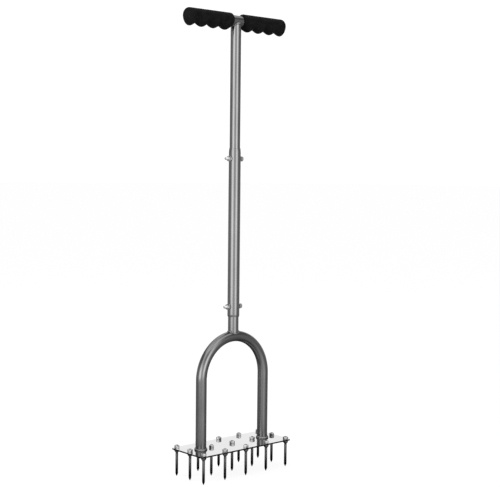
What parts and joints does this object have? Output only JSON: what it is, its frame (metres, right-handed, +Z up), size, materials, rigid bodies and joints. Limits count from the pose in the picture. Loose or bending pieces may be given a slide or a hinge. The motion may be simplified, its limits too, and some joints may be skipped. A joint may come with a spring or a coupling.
{
  "type": "hand lawn spike aerator",
  "caption": "Push-in lawn aerator: T handle with rubber finger grips, bolted tube pole, bent fork and a flat steel plate of bolted pointed spikes.",
  "frame": {"origin": "on the pole's axis, in the plane of the spike tips", "axes": "+Z up the pole, +X along the handle, the fork and the long side of the plate, +Y across the plate"},
  "size_m": [0.262, 0.1, 0.946],
  "materials": {
    "grey_steel_tube": "silver-grey coated steel tube, satin to glossy",
    "plate_steel": "bright plated sheet, mirror-like",
    "spike_steel": "zinc-plated steel, dull",
    "zinc_hardware": "bright zinc-plated steel",
    "grip_rubber": "black matt rubber"
  },
  "bodies": {
    "root": {"crossbar_tube": "grey_steel_tube", "fork_tube": "grey_steel_tube", "left_grip": "grip_rubber", "lower_joint_bolt": "zinc_hardware", "lower_joint_nut": "zinc_hardware", "lower_joint_washer": "zinc_hardware", "lower_nut_01": "zinc_hardware", "lower_nut_02": "zinc_hardware", "lower_nut_03": "zinc_hardware", "lower_nut_04": "zinc_hardware", "lower_nut_05": "zinc_hardware", "lower_nut_06": "zinc_hardware", "lower_nut_07": "zinc_hardware", "lower_nut_08": "zinc_hardware", "lower_nut_09": "zinc_hardware", "lower_nut_10": "zinc_hardware", "lower_nut_11": "zinc_hardware", "lower_nut_12": "zinc_hardware", "lower_nut_13": "zinc_hardware", "lower_nut_14": "zinc_hardware", "lower_nut_15": "zinc_hardware", "right_grip": "grip_rubber", "sleeve_tube": "grey_steel_tube", "spike_01": "spike_steel", "spike_02": "spike_steel", "spike_03": "spike_steel", "spike_04": "spike_steel", "spike_05": "spike_steel", "spike_06": "spike_steel", "spike_07": "spike_steel", "spike_08": "spike_steel", "spike_09": "spike_steel", "spike_10": "spike_steel", "spike_11": "spike_steel", "spike_12": "spike_steel", "spike_13": "spike_steel", "spike_14": "spike_steel", "spike_15": "spike_steel", "spike_plate": "plate_steel", "stem_tube": "grey_steel_tube", "upper_joint_bolt": "zinc_hardware", "upper_joint_nut": "zinc_hardware", "upper_joint_washer": "zinc_hardware", "upper_nut_01": "zinc_hardware", "upper_nut_02": "zinc_hardware", "upper_nut_03": "zinc_hardware", "upper_nut_04": "zinc_hardware", "upper_nut_05": "zinc_hardware", "upper_nut_06": "zinc_hardware", "upper_nut_07": "zinc_hardware", "upper_nut_08": "zinc_hardware", "upper_nut_09": "zinc_hardware", "upper_nut_10": "zinc_hardware", "upper_nut_11": "zinc_hardware", "upper_nut_12": "zinc_hardware", "upper_nut_13": "zinc_hardware", "upper_nut_14": "zinc_hardware", "upper_nut_15": "zinc_hardware", "upper_pole": "grey_steel_tube"}
  },
  "joints": []
}
